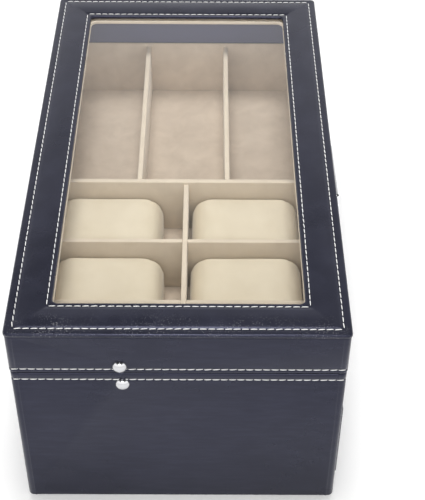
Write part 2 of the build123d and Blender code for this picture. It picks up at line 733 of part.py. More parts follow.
with BuildPart() as lock_plate:
    block((-lock_length / 2, lock_length / 2), (lock_face_y, -case_y), (lock_bottom, lock_top))
    lower_corners = lock_plate.edges().filter_by(Axis.Y).sort_by(Axis.Z)[:2]
    fillet(lower_corners, lock_corner)
    face_edges = lock_plate.faces().sort_by(Axis.Y)[0].edges()
    fillet(face_edges, lock_edge_round)
    rod_y(button_x, (lock_face_y, -case_y), lock_centre_z, button_radius + lock_fit, Mode.SUBTRACT)
    rod_y(key_x, (lock_face_y, -case_y), lock_centre_z, key_radius + lock_fit, Mode.SUBTRACT)
    block((-latch_half - tongue_clearance, latch_half + tongue_clearance), slot_y,
          (tongue_bottom - latch_fit, lock_top), Mode.SUBTRACT)
    block((-latch_half - latch_fit, latch_half + latch_fit), slot_y,
          (latch_top - latch_height - latch_travel - latch_fit, tongue_bottom), Mode.SUBTRACT)
    for x in (-lock_screw_x, lock_screw_x):
        rod_y(x, (-case_y - lock_screw_depth, -case_y), lock_centre_z, lock_screw_radius,
              Mode.SUBTRACT)
save(lock_plate, "lock_plate")

with BuildPart() as lid_hasp:
    block((-lock_length / 2, lock_length / 2), (lock_face_y, -lid_y), (hasp_bottom, hasp_top))
    fillet(lid_hasp.edges().filter_by(Axis.Y).sort_by(Axis.Z)[2:], lock_edge_round)
    fillet(lid_hasp.faces().sort_by(Axis.Y)[0].edges(), lock_edge_round)
    block((-tongue_width / 2, tongue_width / 2), tongue_y, (tongue_bottom, hasp_bottom + leather))
    for x in (-lock_screw_x, lock_screw_x):
        rod_y(x, (-lid_y - lock_screw_depth, -lid_y), hasp_screw_z, lock_screw_radius,
              Mode.SUBTRACT)
save(lid_hasp, "lid_hasp")

for screw_z, outer_y, inner_face, screws_name in (
        (lock_centre_z, -case_y - lock_screw_depth, -inner_y, "lock_screws"),
        (hasp_screw_z, -lid_y - lock_screw_depth, -lid_inner_y, "hasp_screws")):
    with BuildPart() as plate_screws:
        for x in (-lock_screw_x, lock_screw_x):
            rod_y(x, (outer_y, inner_face), screw_z, lock_screw_radius)
    save(plate_screws, screws_name)

with BuildPart() as lock_button:
    rod_y(button_x, (lock_face_y - button_proud, -case_y - button_travel - latch_fit),
          lock_centre_z, button_radius)
    fillet(lock_button.edges().sort_by(Axis.Y)[0], panel_edge_round)
save(lock_button, "lock_button")

with BuildPart() as key_cylinder:
    rod_y(key_x, (lock_face_y - key_proud, -case_y - latch_fit), lock_centre_z, key_radius)
    slot_faces = (lock_face_y - key_proud, lock_face_y - key_proud + key_slot_depth)
    block((key_x - key_slot_width / 2, key_x + key_slot_width / 2), slot_faces,
          (lock_centre_z - key_slot_length / 2, lock_centre_z + key_slot_length / 2),
          Mode.SUBTRACT)
save(key_cylinder, "key_cylinder")

with BuildPart() as lock_latch:
    block((-latch_half, latch_half), latch_y, (latch_top - latch_height, latch_top))
    chamfer(lock_latch.edges().filter_by(Axis.X).group_by(Axis.Z)[-1].sort_by(Axis.Y)[0],
            tongue_thickness / 2)
save(lock_latch, "lock_latch")
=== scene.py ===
import json
from math import cos, pi, radians, sin, sqrt

import bmesh
import bpy
from mathutils import Matrix, Vector, noise


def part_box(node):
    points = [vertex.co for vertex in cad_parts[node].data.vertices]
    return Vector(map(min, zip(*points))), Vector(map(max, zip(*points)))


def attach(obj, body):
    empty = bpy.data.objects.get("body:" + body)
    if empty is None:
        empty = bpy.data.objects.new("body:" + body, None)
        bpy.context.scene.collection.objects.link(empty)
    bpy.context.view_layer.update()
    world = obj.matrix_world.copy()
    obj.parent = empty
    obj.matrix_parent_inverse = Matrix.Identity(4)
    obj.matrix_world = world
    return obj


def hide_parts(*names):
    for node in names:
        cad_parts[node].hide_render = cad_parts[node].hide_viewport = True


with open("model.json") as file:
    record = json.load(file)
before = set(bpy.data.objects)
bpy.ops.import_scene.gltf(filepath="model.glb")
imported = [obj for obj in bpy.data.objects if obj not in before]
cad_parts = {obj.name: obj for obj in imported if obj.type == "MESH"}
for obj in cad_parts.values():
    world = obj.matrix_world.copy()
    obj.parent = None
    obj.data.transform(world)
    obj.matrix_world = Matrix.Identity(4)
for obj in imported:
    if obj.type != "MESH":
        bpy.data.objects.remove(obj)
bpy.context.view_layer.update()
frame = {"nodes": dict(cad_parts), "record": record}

# ---------------------------------------------------------------- camera
# It looks along the box from beyond its left end, down through the glass of the lid.
# It stands under a metre away, with a long lens.

mm = 0.001
camera_place = Vector((-590.7, -15.4, 591.7)) * mm
camera_heading = radians(-90.29)
camera_tilt = radians(47.32)
camera_roll = radians(0.44)
sensor_width = 36
lens_length = 86.9

camera_data = bpy.data.cameras.new("camera")
camera_data.sensor_width = sensor_width
camera_data.lens = lens_length
camera = bpy.data.objects.new("camera", camera_data)
camera.matrix_world = (Matrix.Translation(camera_place)
                       @ Matrix.Rotation(camera_heading, 4, "Z")
                       @ Matrix.Rotation(camera_tilt, 4, "X")
                       @ Matrix.Rotation(camera_roll, 4, "Z"))
bpy.context.scene.collection.objects.link(camera)
bpy.context.scene.camera = camera

# ---------------------------------------------------------------- studio
# White paper floor, a big soft light overhead and a smaller one in front, inside a light tent.
# The walls of the tent are bright up to about a third of the way, and its roof is dimmer.

bpy.context.scene.view_settings.view_transform = "Standard"
floor_half_side = 6.0
light_target = Vector((0, 0, 0.07))
tent_color = (1.0, 0.995, 0.985, 1)
paper_color = (0.90, 0.90, 0.90)
paper_glow = 0.12
tent_wall, tent_roof = 1.6, 0.08
tent_wall_top, tent_roof_start = 0.5, 0.73


def add_nodes(tree, kind, inputs, **properties):
    """Add one node, and set its properties and each input's value or link."""
    made = tree.nodes.new(kind)
    for name, value in properties.items():
        setattr(made, name, value)
    for name, value in inputs.items():
        if isinstance(value, bpy.types.NodeSocket):
            tree.links.new(value, made.inputs[name])
        else:
            made.inputs[name].default_value = value
    return made


def start_material(name, color, roughness, **sockets):
    """A material whose surface is one plain shader, and the shader."""
    material = bpy.data.materials.new(name)
    material.use_nodes = True
    shader = material.node_tree.nodes["Principled BSDF"]
    shader.inputs["Base Color"].default_value = (*color, 1)
    shader.inputs["Roughness"].default_value = roughness
    for socket, value in sockets.items():
        shader.inputs[socket.replace("_", " ")].default_value = value
    return material, shader


world = bpy.data.worlds.new("light_tent")
bpy.context.scene.world = world
world.use_nodes = True
sky = world.node_tree
way = add_nodes(sky, "ShaderNodeTexCoord", {})
height = add_nodes(sky, "ShaderNodeSeparateXYZ", {"Vector": way.outputs["Generated"]})
fade = add_nodes(sky, "ShaderNodeMapRange",
                 {"Value": height.outputs["Z"], "From Min": tent_wall_top,
                  "From Max": tent_roof_start, "To Min": tent_wall, "To Max": tent_roof})
sky.nodes["Background"].inputs["Color"].default_value = tent_color
sky.links.new(fade.outputs["Result"], sky.nodes["Background"].inputs["Strength"])

for name, place, size, power in (("light_above", (0.05, 0.0, 1.15), 0.45, 8.7),
                                 ("light_front", (-1.1, 0.05, 0.95), 0.6, 4.5)):
    light = bpy.data.lights.new(name, "AREA")
    light.shape = "DISK"
    light.size = size
    light.energy = power
    lamp = bpy.data.objects.new(name, light)
    lamp.location = place
    aim = light_target - Vector(place)
    lamp.rotation_euler = aim.to_track_quat("-Z", "Y").to_euler()
    bpy.context.scene.collection.objects.link(lamp)

paper, _ = start_material("white_paper", paper_color, 0.7,
                          Emission_Color=(1, 1, 1, 1), Emission_Strength=paper_glow)
floor_mesh = bpy.data.meshes.new("paper_floor")
shape = bmesh.new()
bmesh.ops.create_grid(shape, x_segments=2, y_segments=2, size=floor_half_side)
shape.to_mesh(floor_mesh)
shape.free()
floor = bpy.data.objects.new("paper_floor", floor_mesh)
floor_mesh.materials.append(paper)
bpy.context.scene.collection.objects.link(floor)

# ---------------------------------------------------------------- case leather
# One sheet of charcoal leatherette goes round the four sides, is sewn below the rim and folds
# over it. Its ends are turned in at the corners, which leaves a narrow ridge on each end.

leather_color = (0.0056, 0.0062, 0.0116)
leather_worn = (0.018, 0.019, 0.031)
leather_glint = (0.68, 0.70, 1.0, 1)
leather_roughness = 0.28
dust_color = (0.42, 0.42, 0.43)
dust_start_x = -0.149
dust_full_x = -0.157
merge_distance = 0.002 * mm
cut_tolerance = 0.001 * mm
skin_tolerance = 0.1 * mm
grain_size = 0.9 * mm
case_corner = 3.0 * mm
seam_depth = 0.35 * mm
seam_half_width = 1.1 * mm
rim_round = 1.3 * mm
ridge_inset = 4.4 * mm
ridge_height = 0.3 * mm
ridge_half_width = 0.7 * mm
case_seam_drop = 4.8 * mm


def leather_material(name, color, worn, roughness, grain, dust=0.0):
    """Pressed leatherette: small pebbles, fine pores, soft patches and a little wear."""
    material, shader = start_material(name, color, roughness, Specular_IOR_Level=0.40,
                                      Specular_Tint=leather_glint)
    tree = material.node_tree
    where = add_nodes(tree, "ShaderNodeTexCoord", {}).outputs["Object"]
    pebbles = add_nodes(tree, "ShaderNodeTexVoronoi",
                        {"Vector": where, "Scale": 1 / grain, "Randomness": 0.9},
                        feature="SMOOTH_F1")
    pores = add_nodes(tree, "ShaderNodeTexNoise",
                      {"Vector": where, "Scale": 2.2 / grain, "Detail": 1.0, "Roughness": 0.5})
    patches = add_nodes(tree, "ShaderNodeTexNoise",
                        {"Vector": where, "Scale": 16.0, "Detail": 4.0, "Roughness": 0.55})
    scuffs = add_nodes(tree, "ShaderNodeTexNoise",
                       {"Vector": where, "Scale": 210.0, "Detail": 5.0, "Roughness": 0.7})
    scuffed = add_nodes(tree, "ShaderNodeMapRange",
                        {"Value": scuffs.outputs["Fac"], "From Min": 0.68, "From Max": 0.8})
    patchy = add_nodes(tree, "ShaderNodeMapRange",
                       {"Value": patches.outputs["Fac"], "From Min": 0.3, "From Max": 0.7,
                        "To Min": 0.0, "To Max": 0.35})
    drawn = add_nodes(tree, "ShaderNodeMapping", {"Vector": where, "Scale": (70, 70, 480)})
    streaks = add_nodes(tree, "ShaderNodeTexNoise",
                        {"Vector": drawn.outputs["Vector"], "Scale": 1.0, "Detail": 3.0})
    streaky = add_nodes(tree, "ShaderNodeMapRange",
                        {"Value": streaks.outputs["Fac"], "From Min": 0.4, "From Max": 0.75,
                         "To Max": 0.45})
    worn_patches = add_nodes(tree, "ShaderNodeMath",
                             {0: patchy.outputs["Result"], 1: streaky.outputs["Result"]},
                             operation="ADD")
    wear = add_nodes(tree, "ShaderNodeMath",
                     {0: scuffed.outputs["Result"], 1: worn_patches.outputs["Value"]},
                     operation="MAXIMUM")
    tone = add_nodes(tree, "ShaderNodeMix", {"Factor": wear.outputs["Value"],
                                             "A": (*color, 1), "B": (*worn, 1)},
                     data_type="RGBA")
    if dust:
        place = add_nodes(tree, "ShaderNodeSeparateXYZ", {"Vector": where})
        spots = add_nodes(tree, "ShaderNodeTexVoronoi", {"Vector": where, "Scale": 1100.0})
        spot = add_nodes(tree, "ShaderNodeMapRange",
                         {"Value": spots.outputs["Distance"], "From Min": 0.26,
                          "From Max": 0.14})
        drift = add_nodes(tree, "ShaderNodeTexNoise", {"Vector": where, "Scale": 70.0})
        strewn = add_nodes(tree, "ShaderNodeMapRange",
                           {"Value": drift.outputs["Fac"], "From Min": 0.35, "From Max": 0.7,
                            "To Max": dust})
        near_end = add_nodes(tree, "ShaderNodeMapRange",
                             {"Value": place.outputs["X"], "From Min": dust_start_x,
                              "From Max": dust_full_x, "To Min": 0.06})
        local = add_nodes(tree, "ShaderNodeMath",
                          {0: strewn.outputs["Result"], 1: near_end.outputs["Result"]},
                          operation="MULTIPLY")
        dusty = add_nodes(tree, "ShaderNodeMath",
                          {0: local.outputs["Value"], 1: spot.outputs["Result"]},
                          operation="MULTIPLY")
        tone = add_nodes(tree, "ShaderNodeMix",
                         {"Factor": dusty.outputs["Value"], "A": tone.outputs["Result"],
                          "B": (*dust_color, 1)}, data_type="RGBA")
    tree.links.new(tone.outputs["Result"], shader.inputs["Base Color"])
    gloss = add_nodes(tree, "ShaderNodeMapRange",
                      {"Value": patches.outputs["Fac"], "From Min": 0.25, "From Max": 0.75,
                       "To Min": roughness - 0.05, "To Max": roughness + 0.07})
    tree.links.new(gloss.outputs["Result"], shader.inputs["Roughness"])
    relief = add_nodes(tree, "ShaderNodeMath",
                       {0: pores.outputs["Fac"], 1: 0.3, 2: pebbles.outputs["Distance"]},
                       operation="MULTIPLY_ADD")
    bump = add_nodes(tree, "ShaderNodeBump",
                     {"Height": relief.outputs["Value"], "Strength": 0.4,
                      "Distance": 0.00004})
    tree.links.new(bump.outputs["Normal"], shader.inputs["Normal"])
    return material


leather = leather_material("charcoal_leatherette", leather_color, leather_worn,
                           leather_roughness, grain_size)


def merged_copy(node):
    """A node's mesh with its loose triangles joined into whole faces."""
    shape = bmesh.new()
    shape.from_mesh(frame["nodes"][node].data)
    bmesh.ops.remove_doubles(shape, verts=shape.verts, dist=merge_distance)
    bmesh.ops.dissolve_limit(shape, angle_limit=radians(1), verts=shape.verts,
                             edges=shape.edges)
    return shape


def finish_piece(shape, name, material, body, slot, *replaced, crease=35):
    """Make a shaped mesh into a piece that rides on a body."""
    mesh = bpy.data.meshes.new(name)
    shape.to_mesh(mesh)
    shape.free()
    mesh.shade_smooth()
    mesh.set_sharp_from_angle(angle=radians(crease))
    mesh.materials.clear()
    mesh.materials.append(material)
    piece = bpy.data.objects.new(name, mesh)
    bpy.context.scene.collection.objects.link(piece)
    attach(piece, body)
    if replaced:
        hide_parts(*replaced)
    return piece


def cut_level(shape, place, direction):
    """Cut every face where it crosses a plane, so that it can be bent there."""
    bmesh.ops.bisect_plane(shape, geom=shape.verts[:] + shape.edges[:] + shape.faces[:],
                           dist=cut_tolerance, plane_co=place, plane_no=direction)


def skin_direction(point, half_x, half_y, corner):
    """The level direction out of a rounded box at a point, and how far out the point lies."""
    core = Vector((max(-half_x + corner, min(half_x - corner, point.x)),
                   max(-half_y + corner, min(half_y - corner, point.y)), point.z))
    out = point - core
    if out.length < 1e-9:
        return Vector((0, 0, 0)), -1.0
    return out.normalized(), out.length - corner


def hump(distance, half_width):
    """A smooth bump that is 1 on its line and 0 at half_width and beyond."""
    if abs(distance) >= half_width:
        return 0.0
    return 0.5 + 0.5 * cos(pi * distance / half_width)


def dress_sides(shape, low, high, seam_z, top_round):
    """Press the seam into the side leather, round its upper and lower rim and raise the folds."""
    for step in (-1, -0.66, -0.33, 0, 0.33, 0.66, 1):
        cut_level(shape, (0, 0, seam_z + step * seam_half_width), (0, 0, 1))
    for share in (0.06, 0.2, 0.4, 0.7, 1.0):
        cut_level(shape, (0, 0, high.z - share * top_round), (0, 0, 1))
        cut_level(shape, (0, 0, low.z + share * rim_round), (0, 0, 1))
    for side in (-1, 1):
        for step in (-1, -0.5, 0, 0.5, 1):
            ridge_y = side * (high.y - ridge_inset + step * ridge_half_width)
            cut_level(shape, (0, ridge_y, 0), (0, 1, 0))
    for vert in shape.verts:
        out, outside = skin_direction(vert.co, high.x, high.y, case_corner)
        if abs(outside) > skin_tolerance:
            continue
        push = -seam_depth * hump(vert.co.z - seam_z, seam_half_width)
        for from_rim, rounding in ((high.z - vert.co.z, top_round),
                                   (vert.co.z - low.z, rim_round)):
            near_rim = rounding - from_rim
            if near_rim > 0:
                push -= rounding - sqrt(max(0, rounding ** 2 - near_rim ** 2))
        if abs(out.x) > 0.99:
            ridge = abs(vert.co.y) - (high.y - ridge_inset)
            push += ridge_height * hump(ridge, ridge_half_width)
        vert.co += out * push


case_low, case_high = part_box("case_wrap")
case_seam_z = case_high.z - case_seam_drop
shape = merged_copy("case_wrap")
dress_sides(shape, case_low, case_high, case_seam_z, rim_round)
finish_piece(shape, "case_leather", leather, "case", "leatherette", "case_wrap")

# ---------------------------------------------------------------- sewing thread
# Off-white waxed polyester, about seven stitches to 30 mm. Each stitch lies a little askew in
# its seam and dives into the leather at both ends.

stitch_pitch = 4.4 * mm
side_stitch = 4.05 * mm
panel_stitch = 3.75 * mm
side_thread = 0.33 * mm
panel_thread = 0.27 * mm
stitch_rise = 0.14 * mm
stitch_skew = radians(7)
stitch_dive = 0.55
stitch_bluntness = 0.6
seam_corner_gap = 0.8 * mm

thread, thread_shader = start_material("waxed_thread", (0.74, 0.74, 0.73), 0.62,
                                       Sheen_Weight=0.25)
tree = thread.node_tree
where = add_nodes(tree, "ShaderNodeTexCoord", {}).outputs["Object"]
fibres = add_nodes(tree, "ShaderNodeTexNoise",
                   {"Vector": where, "Scale": 2600.0, "Detail": 2.0})
shade = add_nodes(tree, "ShaderNodeMix", {"Factor": fibres.outputs["Fac"],
                                          "A": (0.64, 0.64, 0.63, 1), "B": (0.84, 0.84, 0.83, 1)},
                  data_type="RGBA")
tree.links.new(shade.outputs["Result"], thread_shader.inputs["Base Color"])
twist = add_nodes(tree, "ShaderNodeTexWave",
                  {"Vector": where, "Scale": 900.0, "Distortion": 2.0}, bands_direction="DIAGONAL")
bump = add_nodes(tree, "ShaderNodeBump", {"Height": twist.outputs["Fac"], "Strength": 0.5,
                                          "Distance": 0.0001})
tree.links.new(bump.outputs["Normal"], thread_shader.inputs["Normal"])


def add_stitch(shape, centre, along, up, length, radius):
    """Add one stitch that lies along a direction on a surface that faces up."""
    skew = stitch_skew * (0.4 + noise.noise(centre / (3 * stitch_pitch)))
    turned = Matrix.Rotation(skew, 3, up) @ along
    across = up.cross(turned)
    frame_turn = Matrix((across, up, turned)).transposed().to_4x4()
    size = Matrix.Diagonal((radius, radius, length / 2, 1))
    place = Matrix.Translation(centre + up * stitch_rise)
    thread_piece = bmesh.ops.create_uvsphere(shape, u_segments=6, v_segments=7, radius=1)["verts"]
    for vert in thread_piece:
        end = abs(vert.co.z) ** stitch_bluntness
        vert.co.z = end if vert.co.z > 0 else -end
        vert.co.y -= stitch_dive * end ** 4
    bmesh.ops.transform(shape, matrix=place @ frame_turn @ size, verts=thread_piece)


def sew_round(shape, half_x, half_y, z, flat):
    """Sew a seam round a rectangle, on top of a panel if flat, or else on its sides."""
    length, radius = (panel_stitch, panel_thread) if flat else (side_stitch, side_thread)
    for side in range(4):
        along = Vector((cos(side * pi / 2), sin(side * pi / 2), 0))
        out = Vector((along.y, -along.x, 0))
        half_run = (half_x if side % 2 == 0 else half_y) - seam_corner_gap
        reach = half_y if side % 2 == 0 else half_x
        count = round(2 * half_run / stitch_pitch)
        step = 2 * half_run / count
        up = Vector((0, 0, 1)) if flat else out
        for number in range(count):
            centre = along * ((number + 0.5) * step - half_run) + out * reach
            add_stitch(shape, centre + Vector((0, 0, z)), along, up, length, radius)


shape = bmesh.new()
sew_round(shape, case_high.x - seam_depth, case_high.y - seam_depth, case_seam_z, flat=False)
finish_piece(shape, "case_rim_stitches", thread, "case", "leatherette", crease=80)

# ---------------------------------------------------------------- lid side leather
# A second sheet goes round the lid's four sides, is sewn above the rim and folds under it.

lid_seam_rise = 3.2 * mm
lid_top_round = 1.2 * mm
lid_low, lid_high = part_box("lid_side_wrap")
lid_seam_z = lid_low.z + lid_seam_rise
shape = merged_copy("lid_side_wrap")
dress_sides(shape, lid_low, lid_high, lid_seam_z, lid_top_round)
finish_piece(shape, "lid_side_leather", leather, "lid", "leatherette", "lid_side_wrap")

shape = bmesh.new()
sew_round(shape, lid_high.x - seam_depth, lid_high.y - seam_depth, lid_seam_z, flat=False)
finish_piece(shape, "lid_rim_stitches", thread, "lid", "leatherette", crease=80)

# ---------------------------------------------------------------- lid top leather
# The frame round the window is a board padded with thin foam. The leather is pulled down by
# one seam near the outer edge and one beside the window, and is turned under at both edges.

window_overlap = 5.0 * mm
window_corner = 3.2 * mm
panel_sheet = 0.8 * mm
panel_outer_round = 0.9 * mm
panel_window_round = 0.9 * mm
outer_seam_inset = 4.5 * mm
window_seam_inset = 2.6 * mm
top_seam_depth = 0.22 * mm
top_seam_half_width = 2.0 * mm
padding_height = 0.45 * mm
outer_seam_lift = 0.25 * padding_height
window_seam_lift = 0.1 * padding_height
ripple_height = 0.12 * mm
ripple_length = 22 * mm
corner_steps = 8
cuts_across = 30
cuts_along = 36

panel_low, panel_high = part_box("lid_top_leather")
_, pane_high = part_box("glass_pane")
window_x = pane_high.x - window_overlap
window_y = pane_high.y - window_overlap


def rounded_outline(shape, half_x, half_y, radius, z):
    """Add the outline of a level rectangle with round corners."""
    size = Matrix.Diagonal((half_x, half_y, 1, 1))
    bmesh.ops.create_grid(shape, x_segments=1, y_segments=1, size=1,
                          matrix=Matrix.Translation((0, 0, z)) @ size)
    corners = [vert for vert in shape.verts if vert.link_faces]
    bmesh.ops.bevel(shape, geom=corners, affect="VERTICES", offset=radius, offset_type="OFFSET",
                    segments=corner_steps, profile=0.5, material=-1)
    bmesh.ops.delete(shape, geom=shape.faces[:], context="FACES_ONLY")


def edge_distance(point):
    """How far a point of the frame lies in from the outer edge of the panel."""
    return min(panel_high.x - abs(point.x), panel_high.y - abs(point.y))


shape = bmesh.new()
rounded_outline(shape, panel_high.x, panel_high.y, case_corner, panel_high.z)
rounded_outline(shape, window_x, window_y, window_corner, panel_high.z)
bmesh.ops.bridge_loops(shape, edges=shape.edges[:])
border = panel_high.x - window_x
for is_window in (False, True):
    loop = [edge for edge in shape.edges if edge.is_boundary
            and all(vert.co.z > panel_high.z - skin_tolerance for vert in edge.verts)
            and (edge_distance(edge.verts[0].co) > border / 2) == is_window]
    turned = bmesh.ops.extrude_edge_only(shape, edges=loop)["geom"]
    lowered = [vert for vert in turned if isinstance(vert, bmesh.types.BMVert)]
    bmesh.ops.translate(shape, verts=lowered, vec=(0, 0, panel_low.z - panel_high.z))
    rounding = panel_window_round if is_window else panel_outer_round
    bmesh.ops.bevel(shape, geom=loop, affect="EDGES", offset=rounding, offset_type="OFFSET",
                    segments=5, profile=0.5, material=-1)
crossing = [edge for edge in shape.edges
            if abs(edge_distance(edge.verts[0].co) - edge_distance(edge.verts[1].co)) > border / 2]
bmesh.ops.subdivide_edges(shape, edges=crossing, cuts=cuts_across, use_grid_fill=True)
lengthwise = [edge for edge in shape.edges if edge.calc_length() > 0.3 * window_y
              and min(abs(edge.verts[0].co.x - edge.verts[1].co.x),
                      abs(edge.verts[0].co.y - edge.verts[1].co.y)) < 0.01 * mm]
bmesh.ops.subdivide_edges(shape, edges=lengthwise, cuts=cuts_along, use_grid_fill=True)
bmesh.ops.recalc_face_normals(shape, faces=shape.faces)
if sum(face.normal.z for face in shape.faces) < 0:
    bmesh.ops.reverse_faces(shape, faces=shape.faces)
for vert in shape.verts:
    inset = edge_distance(vert.co)
    top_share = max(0.0, (vert.co.z - panel_low.z) / (panel_high.z - panel_low.z))
    padded = sin(pi * max(0.0, min(1.0, inset / border))) ** 2
    ripple = noise.noise(vert.co / ripple_length)
    lift = (padding_height * padded
            - top_seam_depth * hump(inset - outer_seam_inset, top_seam_half_width)
            - top_seam_depth * hump(border - window_seam_inset - inset, top_seam_half_width)
            + ripple_height * ripple)
    vert.co.z += lift * top_share ** 2
dusty_leather = leather_material("lid_top_leatherette", leather_color, leather_worn,
                                 leather_roughness, grain_size, dust=0.7)
panel_leather = finish_piece(shape, "lid_top_panel_leather", dusty_leather, "lid",
                             "leatherette", "lid_top_leather")
turned_in = panel_leather.modifiers.new("sheet_thickness", "SOLIDIFY")
turned_in.thickness = panel_sheet
turned_in.offset = -1

shape = bmesh.new()
seam_top = panel_high.z - top_seam_depth + stitch_rise
sew_round(shape, panel_high.x - outer_seam_inset, panel_high.y - outer_seam_inset,
          seam_top + outer_seam_lift, flat=True)
finish_piece(shape, "lid_outer_stitches", thread, "lid", "leatherette", crease=80)

shape = bmesh.new()
sew_round(shape, window_x + window_seam_inset, window_y + window_seam_inset,
          seam_top + window_seam_lift, flat=True)
finish_piece(shape, "lid_window_stitches", thread, "lid", "leatherette", crease=80)

# ---------------------------------------------------------------- velvet boards
# The tray's dividers and the frame under the glass are thin boards covered with cream velvet,
# which rounds their edges. The tray and the drawer are lined with the same cloth, coloured darker
# as painted shade for the deep bays.

velvet_color = (0.765, 0.68, 0.56)
velvet_dark = (0.70, 0.615, 0.50)
# The lining colours are darker than the board velvet: painted shade for the deep bays and the
# drawer.
lining_color_painted_shade = (0.69, 0.60, 0.505)
lining_dark_painted_shade = (0.58, 0.495, 0.41)
velvet_nap = 12 * mm
lining_nap = 14 * mm
velvet_pile = 0.4
cloth_round = 0.45 * mm


def velvet_material(name, color, dark, nap, pile):
    """Short-pile velvet: fine fibres, brushed patches and a soft sheen."""
    material, shader = start_material(name, color, 0.95, Sheen_Weight=0.35,
                                      Sheen_Roughness=0.45, Specular_IOR_Level=0.15)
    tree = material.node_tree
    where = add_nodes(tree, "ShaderNodeTexCoord", {}).outputs["Object"]
    brushed = add_nodes(tree, "ShaderNodeTexNoise",
                        {"Vector": where, "Scale": 1 / nap, "Detail": 4.0, "Roughness": 0.6,
                         "Distortion": 0.4})
    fibres = add_nodes(tree, "ShaderNodeTexNoise",
                       {"Vector": where, "Scale": 2400.0, "Detail": 2.0, "Roughness": 0.7})
    patch = add_nodes(tree, "ShaderNodeMapRange",
                      {"Value": brushed.outputs["Fac"], "From Min": 0.3, "From Max": 0.7})
    speck = add_nodes(tree, "ShaderNodeMath",
                      {0: fibres.outputs["Fac"], 1: 0.2, 2: patch.outputs["Result"]},
                      operation="MULTIPLY_ADD")
    tone = add_nodes(tree, "ShaderNodeMix", {"Factor": speck.outputs["Value"],
                                             "A": (*dark, 1), "B": (*color, 1)},
                     data_type="RGBA")
    tree.links.new(tone.outputs["Result"], shader.inputs["Base Color"])
    bump = add_nodes(tree, "ShaderNodeBump", {"Height": fibres.outputs["Fac"], "Strength": pile,
                                              "Distance": 0.00003})
    tree.links.new(bump.outputs["Normal"], shader.inputs["Normal"])
    return material


velvet = velvet_material("cream_velvet", velvet_color, velvet_dark, velvet_nap, velvet_pile)


def round_edges(shape, radius, segments):
    """Round every edge of a merged shape that turns by more than 40 degrees."""
    sharp = [edge for edge in shape.edges
             if len(edge.link_faces) == 2 and edge.calc_face_angle() > radians(40)]
    bmesh.ops.bevel(shape, geom=sharp, affect="EDGES", offset=radius, offset_type="OFFSET",
                    segments=segments, profile=0.5, material=-1, clamp_overlap=True)


# The tray and drawer linings take this darker copy of the velvet, which is painted shade.
lining_velvet_painted_shade = velvet_material("lining_velvet_painted_shade", lining_color_painted_shade, lining_dark_painted_shade, lining_nap,
                                velvet_pile)
for node, name, cloth, body in (
        ("mid_divider", "mid_divider_velvet", velvet, "case"),
        ("row_dividers", "row_dividers_velvet", velvet, "case"),
        ("watch_long_divider", "long_divider_velvet", velvet, "case"),
        ("glasses_dividers", "glasses_dividers_velvet", velvet, "case"),
        ("lid_core_frame", "glass_frame_velvet", velvet, "lid"),
        ("tray_floor_lining", "tray_floor_velvet", lining_velvet_painted_shade, "case"),
        ("tray_wall_linings", "tray_wall_velvet", lining_velvet_painted_shade, "case"),
        ("drawer_floor_lining", "drawer_floor_velvet", lining_velvet_painted_shade, "drawer"),
        ("drawer_wall_linings", "drawer_wall_velvet", lining_velvet_painted_shade, "drawer")):
    shape = merged_copy(node)
    round_edges(shape, cloth_round, 3)
    finish_piece(shape, name, cloth, body, "velvet", node, crease=50)

# ---------------------------------------------------------------- cushions
# A watch cushion is a foam block in a velvet sleeve, and its end seams stay crisp. The foam starts
# larger than its node and is blown up as cloth, and the six are copies of it. They are larger than
# their nodes and touch what is beside them, and cushions 5 and 6 meet the stay when lifted.

cushion_color = (0.79, 0.72, 0.575)
cushion_dark = (0.735, 0.66, 0.515)
cushion_nap = 20 * mm
cushion_pile = 0.25
foam_growth = 0.5 * mm
foam_voxel = 2.2 * mm
foam_pressure = 4.0
foam_frames = 20
foam_swell = 1.2 * mm
cushion_top_round = 13.5 * mm
cushion_bottom_round = 5.5 * mm
cushion_end_round = 1.2 * mm
wrinkle_height = 0.22 * mm
wrinkle_length = 14 * mm

cushion_velvet = velvet_material("cushion_velvet", cushion_color, cushion_dark, cushion_nap,
                                 cushion_pile)


def foam_block(size):
    """A loaf standing on z 0 and centred on the Z axis, with big rounds along its top sides."""
    shape = bmesh.new()
    bmesh.ops.create_cube(shape, size=1, matrix=Matrix.Translation((0, 0, size.z / 2))
                          @ Matrix.Diagonal((size.x, size.y, size.z, 1)))
    for is_top, rounding in ((True, cushion_top_round), (False, cushion_bottom_round)):
        long_edges = [edge for edge in shape.edges
                      if abs(edge.verts[0].co.x - edge.verts[1].co.x) > size.x / 2
                      and (edge.verts[0].co.z > size.z / 2) == is_top
                      and abs(edge.verts[0].co.y) > size.y / 2 - skin_tolerance]
        bmesh.ops.bevel(shape, geom=long_edges, affect="EDGES", offset=rounding,
                        offset_type="OFFSET", segments=10, profile=0.5, material=-1)
    ends = [edge for edge in shape.edges
            if all(abs(vert.co.x) > size.x / 2 - skin_tolerance for vert in edge.verts)
            and abs(edge.verts[0].co.x - edge.verts[1].co.x) < skin_tolerance]
    bmesh.ops.bevel(shape, geom=ends, affect="EDGES", offset=cushion_end_round,
                    offset_type="OFFSET", segments=3, profile=0.5, material=-1)
    return shape


